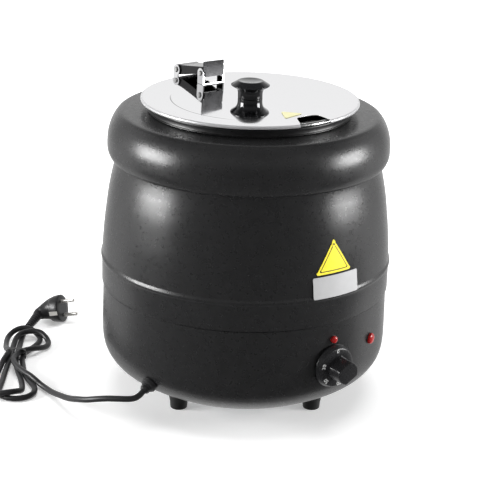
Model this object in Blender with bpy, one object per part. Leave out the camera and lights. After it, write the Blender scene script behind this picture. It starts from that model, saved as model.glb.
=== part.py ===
"""Electric soup kettle, 10 litres: black steel shell, lift-out pot, hinged lid, dial and mains lead.

Lengths are in metres. The kettle stands on z = 0 and its front, with the dial, looks along -Y.
Every part is placed from the kettle's vertical axis, which stands SETBACK behind the origin, so that
the origin is the middle of the base of the box around the whole kettle.
"""
import math

import bmesh
import bpy
from mathutils import Matrix, Vector

# --- driving dimensions ---------------------------------------------------------------------------
SETBACK = 0.0143            # kettle's axis behind the origin, which makes room for the dial in front
GAP = 0.0003                # clearance between touching parts
SIDES = 48                  # facets round the large turned shells
SHEET = 0.0010              # thickness of the steel shells

FOOT_HEIGHT = 0.017
FOOT_CIRCLE = 0.1105        # radius of the circle that the feet stand on
FOOT_ANGLES = (12, 102, 192, 282)

BASE_RADIUS = 0.169
# (radius, height) down the base pan's rounded lower corner to its flat underside
BASE_CORNER = (
    (0.1690, 0.073), (0.1685, 0.0655), (0.1674, 0.059), (0.1655, 0.053), (0.1628, 0.048), (0.1593, 0.043),
    (0.1546, 0.038), (0.1478, 0.0327), (0.1400, 0.028), (0.1287, 0.0215), (0.1210, 0.0181), (0.1120, 0.017),
)
SEAM_HEIGHT = 0.1345        # barrel's hem over the base pan
BEAD_HEIGHT = 0.167         # swaged bead round the barrel
BEAD_RADIUS = 0.1715
# (radius, height) down the barrel's outside from under the shoulder ring to the bead
BARREL_SIDE = (
    (0.1546, 0.298), (0.1550, 0.284), (0.1569, 0.272), (0.1593, 0.261), (0.1623, 0.245), (0.1648, 0.226),
    (0.1671, 0.206), (0.1687, 0.186), (0.1696, 0.173),
)

NAMEPLATE_LOW = 0.1677
NAMEPLATE_HIGH = 0.1922
NAMEPLATE_HALF = 0.0313
STICKER_SHIFT = -0.0033
# (height, half width) up the triangular sticker
STICKER_ROWS = (
    (0.1934, 0.0205), (0.1942, 0.0222), (0.1962, 0.0230), (0.1985, 0.0222), (0.2075, 0.0167),
    (0.2165, 0.0111), (0.2255, 0.0056), (0.2300, 0.0029), (0.2322, 0.0018), (0.2328, 0.0009),
)
LID_STICKER = ((0.0075, -0.0883), (-0.0088, -0.0695), (-0.0220, -0.0946))

SHOULDER_TOP = 0.340
NECK_RADIUS = 0.1161
NECK_TOP = 0.3482
WELL_RADIUS = 0.1122
WELL_FLOOR = 0.064
WELL_SHEET = 0.001

POT_RADIUS = 0.108
POT_FLOOR = 0.078
POT_SHEET = 0.0008
RIM_RADIUS = 0.1175         # middle of the pot's rolled rim
RIM_HEIGHT = 0.3512
RIM_BEAD = 0.0025

LID_TOP = 0.355
LID_RADIUS = 0.126
LID_SHEET = 0.001
LID_HEM = 0.3518            # lowest edge of the lid

HINGE_Y = 0.1297            # axis of the lid's hinge behind the kettle's axis
HINGE_Z = 0.3625
EAR_INNER = 0.0134          # hinge ears, from the middle plane
EAR_OUTER = 0.0150
ARM_HALF = 0.0131
ARM_PIN_Y = 0.079
ARM_PIN_Z = 0.3685
ARM_FRONT = 0.0712          # front face of the arm's upright plate
ARM_WALL = 0.0012
# (x, height) round the upright plate at the arm's front end, a T with its right shoulder cut lower
ARM_PLATE = (
    (-0.0118, 0.3650), (0.0090, 0.3650), (0.0100, 0.3700), (0.0130, 0.3722), (0.0130, 0.3772),
    (0.0121, 0.3777), (0.0121, 0.3785), (0.0130, 0.3790), (0.0130, 0.3833),
    (-0.0160, 0.3838), (-0.0160, 0.3722), (-0.0118, 0.3700),
)

DIAL_HEIGHT = 0.083
DIAL_BACK = 0.1703          # distance of the dial's back face from the kettle's axis
DIAL_RADIUS = 0.0252
DIAL_SKIRT = 0.008
DIAL_GRIP = 0.020
SHAFT_RADIUS = 0.003

SMALL_LAMP_HEIGHT = 0.1145
LARGE_LAMP_HEIGHT = 0.0954
LARGE_LAMP_ANGLE = 23.2

GLAND_ANGLE = -76           # round the kettle from the front, in degrees
GLAND_HEIGHT = 0.0495
GLAND_RADIUS = 0.1636
GLAND_DROP = 26             # degrees that the gland points below level
CORD_RADIUS = 0.0035

# Middle line of the lead from the gland to the hank, and from the hank to the plug, in millimetres
# from the kettle's axis.
CORD_RUN = (
    (-176.4, -44, 40.6), (-182, -44.8, 39.2), (-188.3, -43.3, 38.7), (-194.8, -39, 38.6),
    (-201.3, -32.4, 38), (-208.2, -23.8, 36.5), (-215, -13.2, 33.4), (-220.4, -0.5, 28.9),
    (-223.2, 15.5, 23.8), (-223.6, 30.5, 18.7), (-222.8, 44, 14.8), (-221.5, 57, 11.4), (-220.2, 70, 8.2),
    (-219.1, 83, 5.6), (-218.6, 96, 4.6), (-219.8, 107.1, 5.6),
)
CORD_TAIL = ((-155.2, 261.9, 5.2), (-151.4, 265, 5.9), (-147.9, 267.7, 6.5))
HANK_MIDDLE = (-211.0, 172.3)
HANK_HEADING = 53.3         # degrees from +X to the hank's long direction
HANK_WAIST = (-2.5, 21)     # right and left edge where the tie pulls it in, in millimetres
HANK_TIE_AT = 0.024         # place of the tie along the hank
# (place along, right edge, left edge) of the hank from end to end, in millimetres
HANK_OUTLINE = (
    (-98.5, -2, 14), (-97, -9.5, 18), (-94, -17.5, 23), (-89, -23.5, 28.3), (-82, -28, 32.2),
    (-73, -29.8, 33.6), (-62, -29.4, 33), (-55, -27.6, 32), (-45, -21.5, 30.6), (-30, -13.5, 28.8),
    (-10, -8, 27.2), (8, -5, 25.2), (17, -3.6, 22.6), (21.5, -2.5, 21), (26.5, -2.5, 21), (31, -6.5, 23),
    (40, -14.5, 26.4), (50, -22.3, 28.6), (60, -27.6, 30.2), (68, -28.6, 31.6), (76, -27.4, 31.8),
    (84, -23, 31.4), (90, -16, 29.6), (95, -10.5, 26.2), (99.5, -5.5, 20.8), (102.5, 0.5, 16), (104, 4, 13.5),
)
HANK_BOTTOM = 0.0016
HANK_TOP = 0.0155

# Middle line of the plug and its strain relief, from the face with the pins back to the lead.
PLUG_FACE = (-93.4, 272.8, 19.3)
PLUG_AXIS = (0.604, -0.763, 0.23)
PLUG_BEND = (-119.3, 290.2, 11.0)
RELIEF_START = 0.005        # end of the plug's body past the bend
RELIEF_END = (-147.5, 268.0, 6.6)


# --- helpers --------------------------------------------------------------------------------------
for old in list(bpy.data.objects):
    bpy.data.objects.remove(old, do_unlink=True)

AXIS = bpy.data.objects.new("kettle_axis", None)
AXIS.location = (0, SETBACK, 0)
bpy.context.scene.collection.objects.link(AXIS)


def material(name, colour, roughness, metallic=0.0):
    mat = bpy.data.materials.new(name)
    mat.use_nodes = True
    shader = mat.node_tree.nodes["Principled BSDF"]
    shader.inputs["Base Color"].default_value = (*colour, 1)
    shader.inputs["Roughness"].default_value = roughness
    shader.inputs["Metallic"].default_value = metallic
    return mat


POWDER_BLACK = material("powder_black", (0.018, 0.018, 0.019), 0.42)
NECK_BLACK = material("neck_black", (0.012, 0.012, 0.013), 0.38)
POLISHED = material("polished_steel", (0.78, 0.78, 0.78), 0.06, 1)
SATIN = material("satin_steel", (0.62, 0.62, 0.61), 0.3, 1)
ALUMINIUM = material("aluminium", (0.72, 0.72, 0.73), 0.4, 1)
GALVANISED = material("galvanised_steel", (0.5, 0.52, 0.53), 0.45, 1)
GLOSS_BLACK = material("gloss_black_plastic", (0.012, 0.012, 0.013), 0.16)
DIAL_BLACK = material("dial_black_plastic", (0.014, 0.014, 0.015), 0.3)
CORD_BLACK = material("cord_black", (0.02, 0.02, 0.021), 0.5)
RUBBER = material("rubber", (0.015, 0.015, 0.015), 0.7)
LENS_RED = material("lens_red", (0.55, 0.02, 0.02), 0.15)
CERAMIC = material("ceramic", (0.8, 0.78, 0.72), 0.6)
GLASS_FIBRE = material("glass_fibre", (0.75, 0.72, 0.6), 0.95)
LABEL_SILVER = material("label_silver", (0.6, 0.6, 0.6), 0.35, 0.6)
LABEL_YELLOW = material("label_yellow", (0.9, 0.75, 0.03), 0.4)
LABEL_PALE = material("label_pale_yellow", (0.85, 0.8, 0.45), 0.4)
BRASS = material("nickelled_brass", (0.75, 0.73, 0.68), 0.25, 1)


def placed(name, bm, mat, matrix=Matrix.Identity(4), smooth=True):
    """Closes the bmesh bm into an object called name, hung on the kettle's axis."""
    bmesh.ops.recalc_face_normals(bm, faces=bm.faces)
    mesh = bpy.data.meshes.new(name)
    bm.to_mesh(mesh)
    bm.free()
    if smooth:
        mesh.shade_smooth()
        mesh.set_sharp_from_angle(angle=math.radians(35))
    mesh.materials.append(mat)
    obj = bpy.data.objects.new(name, mesh)
    bpy.context.scene.collection.objects.link(obj)
    obj.parent = AXIS
    obj.matrix_local = matrix
    return obj


def turned(name, profile, mat, sides=SIDES, matrix=Matrix.Identity(4)):
    """A solid of revolution about Z. profile holds (radius, height) points round its section; a section
    that starts and ends at radius 0 is closed along the axis."""
    bm = bmesh.new()
    rings = []
    for radius, height in profile:
        if radius < 1e-7:
            rings.append([bm.verts.new((0, 0, height))])
            continue
        turn = [2 * math.pi * (i + 0.5) / sides for i in range(sides)]
        rings.append([bm.verts.new((radius * math.cos(a), radius * math.sin(a), height)) for a in turn])
    pairs = list(zip(rings, rings[1:]))
    if len(rings[0]) > 1:
        pairs.append((rings[-1], rings[0]))
    for low, high in pairs:
        for i in range(sides):
            j = (i + 1) % sides
            if len(low) == 1 and len(high) == 1:
                break
            if len(low) == 1:
                bm.faces.new((low[0], high[j], high[i]))
            elif len(high) == 1:
                bm.faces.new((low[i], low[j], high[0]))
            else:
                bm.faces.new((low[i], low[j], high[j], high[i]))
    return placed(name, bm, mat, matrix)


def sheet(outer, thickness):
    """Closes an open outer profile, listed top to bottom, into a section of that thickness inside it."""
    inner = []
    for i, (radius, height) in enumerate(outer):
        before = Vector(outer[max(i - 1, 0)])
        after = Vector(outer[min(i + 1, len(outer) - 1)])
        along = (after - before).normalized()
        inner.append((radius + along.y * thickness, height - along.x * thickness))
    return list(outer) + inner[::-1]


def arc(middle, radius, start, end, steps):
    """Points along an arc of a circle in a section, angles in degrees from the radial direction."""
    found = []
    for i in range(steps + 1):
        a = math.radians(start + (end - start) * i / steps)
        found.append((middle[0] + radius * math.cos(a), middle[1] + radius * math.sin(a)))
    return found


def extruded(name, outline, low, high, mat, matrix=Matrix.Identity(4), smooth=False):
    """A flat outline of (x, y) points, pulled up from z = low to z = high."""
    bm = bmesh.new()
    bottom = [bm.verts.new((x, y, low)) for x, y in outline]
    top = [bm.verts.new((x, y, high)) for x, y in outline]
    bm.faces.new(bottom[::-1])
    bm.faces.new(top)
    for i in range(len(outline)):
        j = (i + 1) % len(outline)
        bm.faces.new((bottom[i], bottom[j], top[j], top[i]))
    return placed(name, bm, mat, matrix, smooth)


def block(name, low, high, mat, matrix=Matrix.Identity(4)):
    """A box between two corners."""
    outline = ((low[0], low[1]), (high[0], low[1]), (high[0], high[1]), (low[0], high[1]))
    return extruded(name, outline, low[2], high[2], mat, matrix)


def across(x):
    """Turns a section drawn as (y, z) into a plane across X, whose thickness runs along +X from x."""
    return Matrix(((0, 0, 1, x), (1, 0, 0, 0), (0, 1, 0, 0), (0, 0, 0, 1)))


def looking(point, direction, up=(0, 0, 1)):
    """A frame at point whose Z looks along direction."""
    z = Vector(direction).normalized()
    x = Vector(up).cross(z).normalized()
    y = z.cross(x)
    turn = Matrix((x, y, z)).transposed().to_4x4()
    return Matrix.Translation(point) @ turn


def round_the_kettle(angle, radius, height):
    """The point at that angle from the front, in degrees towards +X."""
    a = math.radians(angle)
    return Vector((radius * math.sin(a), -radius * math.cos(a), height))


def cut(obj, *cutters, join=False):
    """Takes the cutters out of obj, or joins them on."""
    for cutter in cutters:
        step = obj.modifiers.new(cutter.name, "BOOLEAN")
        step.object = cutter
        step.operation = "UNION" if join else "DIFFERENCE"
        step.solver = "EXACT"
        cutter.hide_render = True
        cutter.display_type = "WIRE"
    return obj


def rod(name, radius, length, matrix, mat=GALVANISED, sides=16, start=0.0):
    """A plain cylinder along its own Z."""
    profile = ((0, start), (radius, start), (radius, start + length), (0, start + length))
    return turned(name, profile, mat, sides, matrix)


def millimetres(points):
    return [Vector(p) / 1000 for p in points]


def smooth_path(points, spacing):
    """Points about spacing apart on a smooth curve through the given ones."""
    ends = [points[0] * 2 - points[1]] + list(points) + [points[-1] * 2 - points[-2]]
    path = []
    for a, b, c, d in zip(ends, ends[1:], ends[2:], ends[3:]):
        steps = max(1, round((c - b).length / spacing))
        for i in range(steps):
            t = i / steps
            path.append(0.5 * (2 * b + (c - a) * t + (2 * a - 5 * b + 4 * c - d) * t * t
                               + (3 * b - a - 3 * c + d) * t ** 3))
    return path + [points[-1]]


def tube(name, path, radius, mat, resolution=2):
    """A round tube along a path, with closed ends."""
    curve = bpy.data.curves.new(name, "CURVE")
    curve.dimensions = "3D"
    curve.bevel_depth = radius
    curve.bevel_resolution = resolution
    curve.use_fill_caps = True
    spline = curve.splines.new("POLY")
    spline.points.add(len(path) - 1)
    for point, place in zip(spline.points, path):
        point.co = (*place, 1)
    curve.materials.append(mat)
    obj = bpy.data.objects.new(name, curve)
    bpy.context.scene.collection.objects.link(obj)
    obj.parent = AXIS
    return obj


def lofted(name, path, sections, mat, up=(0, 0, 1)):
    """A solid through a cross-section at each point of a path. A section is (half width, half height)
    of an ellipse across the path."""
    bm = bmesh.new()
    sides = 20
    rings = []
    for i, (point, (wide, high)) in enumerate(zip(path, sections)):
        along = path[min(i + 1, len(path) - 1)] - path[max(i - 1, 0)]
        frame = looking(point, along, up)
        ring = []
        for k in range(sides):
            a = 2 * math.pi * k / sides
            ring.append(bm.verts.new(frame @ Vector((wide * math.cos(a), high * math.sin(a), 0))))
        rings.append(ring)
    for low, high in zip(rings, rings[1:]):
        for k in range(sides):
            j = (k + 1) % sides
            bm.faces.new((low[k], low[j], high[j], high[k]))
    bm.faces.new(rings[0][::-1])
    bm.faces.new(rings[-1])
    return placed(name, bm, mat)


# --- shells ---------------------------------------------------------------------------------------
def gland_frame():
    """The frame on the pan's corner where the lead comes out, its Z looking outwards and down."""
    drop = math.radians(GLAND_DROP)
    outwards = round_the_kettle(GLAND_ANGLE, math.cos(drop), -math.sin(drop))
    return looking(round_the_kettle(GLAND_ANGLE, GLAND_RADIUS, GLAND_HEIGHT), outwards)


def facing(angle, height, radius=0.0):
    """A frame on the kettle's side whose Z looks outwards."""
    return looking(round_the_kettle(angle, radius, height), round_the_kettle(angle, 1, 0))


def base_pan():
    outer = [(BASE_RADIUS - 0.0011, 0.142), (BASE_RADIUS - 0.0011, 0.1348), (BASE_RADIUS - 0.0007, 0.1338)]
    outer += [(BASE_RADIUS - 0.0003, 0.112), (BASE_RADIUS, 0.089)]
    outer += list(BASE_CORNER) + [(0.096, FOOT_HEIGHT)]
    pan = turned("base_pan", sheet(outer, SHEET), POWDER_BLACK)
    holes = [
        rod("shaft_hole", 0.0055, 0.06, facing(0, DIAL_HEIGHT, 0.14), sides=16),
        rod("small_lamp_hole", 0.0040, 0.06, facing(0, SMALL_LAMP_HEIGHT, 0.14), sides=12),
        rod("large_lamp_hole", 0.0058, 0.06, facing(LARGE_LAMP_ANGLE, LARGE_LAMP_HEIGHT, 0.14), sides=12),
        rod("gland_hole", 0.0066, 0.04, gland_frame(), sides=12, start=-0.02),
    ]
    for i, angle in enumerate(FOOT_ANGLES):
        place = Matrix.Translation(round_the_kettle(angle, FOOT_CIRCLE, 0.01))
        holes.append(rod(f"foot_hole_{i}", 0.0028, 0.02, place, sides=12))
    return cut(pan, *holes)


def barrel_shell():
    outer = list(BARREL_SIDE)
    outer += [(BEAD_RADIUS - 0.0004, BEAD_HEIGHT + 0.002), (BEAD_RADIUS, BEAD_HEIGHT),
              (BEAD_RADIUS - 0.0004, BEAD_HEIGHT - 0.002), (0.1699, BEAD_HEIGHT - 0.005),
              (0.1699, SEAM_HEIGHT)]
    return turned("barrel_shell", sheet(outer, SHEET), POWDER_BLACK)


def shoulder_ring():
    outer = [(0.1130, SHOULDER_TOP), (0.1478, 0.3394), (0.1506, 0.3386), (0.1530, 0.3364), (0.1569, 0.331),
             (0.1606, 0.323), (0.1632, 0.3125), (0.1639, 0.299), (0.1629, 0.2925), (0.1603, 0.2873),
             (0.1571, 0.2848)]
    return turned("shoulder_ring", sheet(outer, SHEET), POWDER_BLACK)


def neck_ring():
    section = [(NECK_RADIUS + 0.0009, NECK_TOP - 0.0012), (NECK_RADIUS + 0.0002, SHOULDER_TOP + 0.0016),
               (NECK_RADIUS, SHOULDER_TOP + GAP), (WELL_RADIUS + 0.0005, SHOULDER_TOP + GAP),
               (WELL_RADIUS + 0.0005, NECK_TOP), (NECK_RADIUS - 0.0002, NECK_TOP)]
    return turned("neck_ring", section, NECK_BLACK)


def water_well():
    inner = WELL_RADIUS - WELL_SHEET
    section = [(0, WELL_FLOOR), (WELL_RADIUS - 0.009, WELL_FLOOR),
               (WELL_RADIUS - 0.0025, WELL_FLOOR + 0.0028), (WELL_RADIUS, WELL_FLOOR + 0.009),
               (WELL_RADIUS, 0.3372), (0.1155, 0.3372), (0.1155, 0.3382), (WELL_RADIUS, 0.3382),
               (WELL_RADIUS, 0.3478), (inner, 0.3478), (inner, WELL_FLOOR + 0.009),
               (inner - 0.0022, WELL_FLOOR + 0.0036), (inner - 0.008, WELL_FLOOR + WELL_SHEET),
               (0, WELL_FLOOR + WELL_SHEET)]
    return turned("water_well", section, SATIN)


def insulation_blanket():
    section = [(0.1215, 0.280), (0.1215, 0.112), (0.1135, 0.112), (0.1135, 0.280)]
    return turned("insulation_blanket", section, GLASS_FIBRE, sides=32)


def bottom_plate():
    low = FOOT_HEIGHT + SHEET + GAP
    turned("bottom_plate", [(0, low), (0.106, low), (0.106, low + 0.001), (0, low + 0.001)], GALVANISED, 32)


def feet():
    """Four tapered rubber feet, each held by a screw from below."""
    names = ("foot_front", "foot_right", "foot_rear", "foot_left")
    top = FOOT_HEIGHT - GAP
    for name, angle in zip(names, FOOT_ANGLES):
        place = Matrix.Translation(round_the_kettle(angle, FOOT_CIRCLE, 0))
        section = [(0.0030, top), (0.0030, 0.0075), (0.0060, 0.0075), (0.0060, 0), (0.0092, 0),
                   (0.0099, 0.0009), (0.0103, 0.006), (0.0121, top - 0.0014), (0.0121, top)]
        turned(name, section[::-1], RUBBER, 20, place)
        head = 0.0072
        screw = [(0, 0.0038), (0.0040, 0.0038), (0.0050, 0.0052), (0.0050, head), (0.0023, head),
                 (0.0023, FOOT_HEIGHT + SHEET), (0, FOOT_HEIGHT + SHEET)]
        turned(f"{name}_screw", screw, GALVANISED, 12, place)


# --- heating and wiring inside --------------------------------------------------------------------
def heating():
    ring = 0.070
    height = WELL_FLOOR - GAP - 0.0035
    path = []
    for i in range(37):
        a = math.radians(-70 + 320 * i / 36)
        path.append(Vector((ring * math.cos(a), ring * math.sin(a), height)))
    tube("heating_element", path, 0.0035, SATIN)
    top = height - 0.0035 - GAP
    plate = [(0, top), (0.088, top), (0.088, top - 0.002), (0, top - 0.002)]
    turned("element_clamp_plate", plate, ALUMINIUM, 32)
    shield = [(0, 0.0465), (0.104, 0.0465), (0.104, 0.0555), (0.1032, 0.0555), (0.1032, 0.0473), (0, 0.0473)]
    turned("heat_shield", shield, GALVANISED, 32)
    rod("thermal_cutout", 0.008, 0.008, Matrix.Translation((0.03, 0.02, 0.0382)), CERAMIC, 16)


def thermostat():
    block("thermostat_body", (-0.017, -0.1652, 0.068), (0.017, -0.134, 0.102), CERAMIC)
    path = smooth_path(millimetres([(0, -133.6, 92), (0, -126, 92), (8, -119, 90), (22, -113, 80),
                                    (36, -106.5, 66), (44, -99, 60.6), (45, -90, 60.2)]), 0.008)
    tube("thermostat_capillary", path, 0.001, SATIN)
    bulb = looking(Vector((0.0452, -0.0895, 0.0602)), (0.1, 1, 0))
    rod("sensor_bulb", 0.003, 0.028, bulb @ Matrix.Translation((0, 0, 0.0004)), SATIN, 12)


def terminals():
    low = FOOT_HEIGHT + SHEET + 2 * GAP + 0.001
    block("terminal_block", (-0.085, -0.045, low), (-0.065, 0.005, low + 0.016), CERAMIC)
    place = Matrix.Translation((-0.04, -0.05, low))
    rod("earth_stud", 0.004, 0.014, place, BRASS, 6)


# --- controls -------------------------------------------------------------------------------------
def control_dial():
    frame = facing(0, DIAL_HEIGHT, DIAL_BACK)
    bore = SHAFT_RADIUS + 0.0003
    grip_end = DIAL_SKIRT + DIAL_GRIP
    section = [(bore, 0), (DIAL_RADIUS, 0), (DIAL_RADIUS, 0.0012), (DIAL_RADIUS - 0.0022, DIAL_SKIRT - 0.001),
               (DIAL_RADIUS - 0.0034, DIAL_SKIRT), (0.0138, DIAL_SKIRT), (0.0130, grip_end - 0.0015),
               (0.0115, grip_end), (0, grip_end), (0, 0.0165), (bore, 0.0165)]
    dial = turned("control_dial", section[8:] + section[:9], DIAL_BLACK, 32, frame)
    turn = frame @ Matrix.Rotation(math.radians(28), 4, "Z")
    flats = []
    for side in (1, -1):
        low = (-0.03, side * 0.0205 - 0.01, DIAL_SKIRT + 0.0002)
        high = (0.03, side * 0.0205 + 0.01, DIAL_SKIRT + 0.05)
        flats.append(block(f"grip_flat_{side + 1}", low, high, DIAL_BLACK, turn))
    cut(dial, *flats)
    inner = facing(0, DIAL_HEIGHT, 0.1655)
    rod("thermostat_shaft", SHAFT_RADIUS, DIAL_BACK + 0.0162 - 0.1655, inner, SATIN, 16)


def pilot_lamp(name, angle, height, radius, wall):
    """A red lens outside the pan and its holder through the wall behind it."""
    frame = facing(angle, height, wall)
    lens = [(0, 0.0006), (radius, 0.0006), (radius, 0.0024), (radius * 0.86, 0.0036), (radius * 0.5, 0.0044),
            (0, 0.0047)]
    turned(f"{name}_lens", lens, LENS_RED, 20, frame)
    rod(f"{name}_holder", radius * 0.8, 0.0215, frame, CERAMIC, 12, start=-0.0212)


def curved_patch(name, rows, mat, columns=8):
    """A thin patch wrapped round the barrel. rows holds (height, radius, half width, shift)."""
    bm = bmesh.new()
    layers = []
    for lift in (GAP, GAP + 0.0004):
        layer = []
        for height, radius, half, shift in rows:
            row = []
            for i in range(columns + 1):
                angle = math.degrees((shift - half + 2 * half * i / columns) / radius)
                row.append(bm.verts.new(round_the_kettle(angle, radius + lift, height)))
            layer.append(row)
        layers.append(layer)
    low, high = layers
    last = len(rows) - 1
    for r in range(last):
        for c in range(columns):
            for layer in layers:
                bm.faces.new((layer[r][c], layer[r][c + 1], layer[r + 1][c + 1], layer[r + 1][c]))
        for c in (0, columns):
            bm.faces.new((low[r][c], low[r + 1][c], high[r + 1][c], high[r][c]))
    for c in range(columns):
        for r in (0, last):
            bm.faces.new((low[r][c], low[r][c + 1], high[r][c + 1], high[r][c]))
    return placed(name, bm, mat)


def barrel_radius(height):
    """Outer radius of the barrel above its bead."""
    for (r1, z1), (r0, z0) in zip(BARREL_SIDE, BARREL_SIDE[1:]):
        if z0 <= height <= z1:
            return r0 + (r1 - r0) * (height - z0) / (z1 - z0)
    return BARREL_SIDE[0][0]


def labels():
    """A plain nameplate that stands on the bead, a plain triangle over it, and a triangle on the lid."""
    foot = (NAMEPLATE_LOW, BEAD_RADIUS + GAP)
    head = (NAMEPLATE_HIGH, barrel_radius(NAMEPLATE_HIGH) + GAP)
    rows = []
    for i in range(6):
        height = foot[0] + (head[0] - foot[0]) * i / 5
        rows.append((height, foot[1] + (head[1] - foot[1]) * i / 5, NAMEPLATE_HALF, 0))
    curved_patch("nameplate", rows, LABEL_SILVER)
    rows = []
    for height, half in STICKER_ROWS:
        rows.append((height, barrel_radius(height) + GAP, half, STICKER_SHIFT))
    curved_patch("body_sticker", rows, LABEL_YELLOW)
    extruded("lid_sticker", LID_STICKER, LID_TOP + GAP, LID_TOP + 2 * GAP, LABEL_PALE)


# --- pot, lid and hinge ---------------------------------------------------------------------------
def insert_pot():
    inner = POT_RADIUS - POT_SHEET
    corner = 0.015
    outside = [(0, POT_FLOOR)]
    outside += arc((POT_RADIUS - corner, POT_FLOOR + corner), corner, -90, 0, 4)
    outside += [(POT_RADIUS, 0.343), (0.1090, 0.3465), (0.1125, 0.3492), (0.1150, 0.3499)]
    bead = arc((RIM_RADIUS, RIM_HEIGHT), RIM_BEAD, -90, 135, 6)
    inside = [(0.1142, 0.3516), (0.1120, 0.3506), (0.1083, 0.3476), (inner, 0.343)]
    inside += arc((POT_RADIUS - corner, POT_FLOOR + corner), corner - POT_SHEET, 0, -90, 4)
    return turned("insert_pot", outside + bead + inside + [(0, POT_FLOOR + POT_SHEET)], SATIN)


def lid_disc():
    under = LID_TOP - LID_SHEET
    section = [(0, LID_TOP), (0.1200, LID_TOP), (0.1235, LID_TOP - 0.0004), (0.1254, LID_TOP - 0.0014),
               (LID_RADIUS, LID_TOP - 0.0026), (LID_RADIUS, LID_HEM), (LID_RADIUS - 0.001, LID_HEM),
               (LID_RADIUS - 0.0012, LID_TOP - 0.0022), (0.1230, under - 0.0003), (0.1196, under), (0, under)]
    lid = turned("lid_disc", section, POLISHED, sides=SIDES)
    hole = rod("knob_hole", 0.0028, 0.02, Matrix.Translation((0, 0, 0.345)), sides=12)
    return cut(lid, ladle_notch(), hole)


def ladle_notch():
    """Cutter of the notch that a ladle's handle stands in, a little flared on its left side."""
    depth = 0.098
    corner = 0.006
    outline = [(-0.0240, -0.140), (0.0165, -0.140), (0.0165, -depth - corner)]
    outline += [(0.0165 - corner + corner * math.cos(math.radians(a)),
                 -depth - corner + corner * math.sin(math.radians(a))) for a in (30, 60, 90)]
    outline += [(-0.0105 + 0.004, -depth), (-0.0105 - 0.001, -depth - 0.004), (-0.0205, -0.1262)]
    return extruded("ladle_notch", outline, 0.34, 0.37, POLISHED)


def lid_knob():
    low = LID_TOP + GAP
    section = [(0.0028, low), (0.0143, low), (0.0143, low + 0.0048), (0.0147, low + 0.0072),
               (0.0156, low + 0.0094), (0.0179, low + 0.0115), (0.0209, low + 0.0131),
               (0.0223, low + 0.0143), (0.0221, low + 0.0151), (0.0185, low + 0.0174),
               (0.0152, low + 0.0193), (0.0138, low + 0.0197), (0.0070, low + 0.0192), (0, low + 0.0188),
               (0, low + 0.012), (0.0028, low + 0.012)]
    turned("lid_knob", section[13:] + section[:14], GLOSS_BLACK, 32)
    head = LID_TOP - LID_SHEET - GAP
    screw = [(0, head - 0.0022), (0.0034, head - 0.0020), (0.0045, head - 0.0006), (0.0045, head),
             (0.0023, head), (0.0023, low + 0.0116), (0, low + 0.0116)]
    turned("knob_screw", screw, GALVANISED, 12)


def pin_across(name, y, z, radius, head_radius, mat):
    """A headed pin through both ears of a hinge."""
    neck = EAR_OUTER + GAP
    end = neck + 0.0012
    section = [(0, -end), (head_radius * 0.7, -end), (head_radius, -neck - 0.0005), (head_radius, -neck),
               (radius, -neck), (radius, neck), (head_radius, neck), (head_radius, neck + 0.0005),
               (head_radius * 0.7, end), (0, end)]
    frame = looking(Vector((0, y, z)), (1, 0, 0))
    return turned(name, section, mat, 16, frame)


def ear(name, y, z, radius, front, bottom, side):
    """A hinge ear: a plate across X, upright from bottom and round about the pin's axis at (y, z)."""
    low, high = (EAR_INNER, EAR_OUTER) if side > 0 else (-EAR_OUTER, -EAR_INNER)
    end = 360 - math.degrees(math.acos(max(-1, (front - y) / radius)))
    outline = [(front, bottom), (y + radius, bottom)] + arc((y, z), radius, 0, end, 10)
    return extruded(name, outline, low, high, POLISHED, across(0))


def lid_bracket():
    """Two ears on a base plate that is fastened to the lid."""
    low = LID_TOP + GAP
    front = ARM_PIN_Y - 0.006
    rear = ARM_PIN_Y + 0.006
    plate = block("lid_bracket", (-EAR_OUTER, front, low), (EAR_OUTER, rear, low + 0.0012), POLISHED)
    ears = [ear(f"bracket_ear_{side + 1}", ARM_PIN_Y, ARM_PIN_Z, 0.006, front, low, side) for side in (-1, 1)]
    cut(plate, *ears, join=True)
    cut(plate, bore_across("bracket_hole", ARM_PIN_Y, ARM_PIN_Z, 0.0019))
    pin_across("arm_pin", ARM_PIN_Y, ARM_PIN_Z, 0.0016, 0.0031, SATIN)


def bore_across(name, y, z, radius):
    """Cutter for a pin hole through both ears."""
    return rod(name, radius, 0.04, looking(Vector((-0.02, y, z)), (1, 0, 0)), sides=16)


def hinge_arm():
    """A channel open below, from the hinge over the lid to its bracket, with an upright plate in front."""
    front = ARM_FRONT
    wall = ARM_WALL
    outline = [(0.1200, 0.3694), (0.0790, 0.3760), (front, 0.3768), (front, 0.3652), (0.0850, 0.3662),
               (0.1235, 0.3572)]
    outline += arc((HINGE_Y, HINGE_Z), 0.0062, -105, 90, 10)
    arm = extruded("hinge_arm", outline, -ARM_HALF, ARM_HALF, POLISHED, across(0))
    inside = [(0.1215, 0.3450), (front + wall, 0.3450), (front + wall, 0.3754), (0.0790, 0.3747),
              (0.1215, 0.3679)]
    hollow = extruded("arm_hollow", inside, -ARM_HALF + wall, ARM_HALF - wall, POLISHED, across(0))
    upright = extruded("arm_upright", ARM_PLATE, -wall, 0, POLISHED, looking((0, front, 0), (0, -1, 0)))
    cut(arm, hollow)
    cut(arm, upright, join=True)
    cut(arm, bore_across("arm_pin_hole", ARM_PIN_Y, ARM_PIN_Z, 0.0019),
        bore_across("arm_hinge_hole", HINGE_Y, HINGE_Z, 0.0023))


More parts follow.
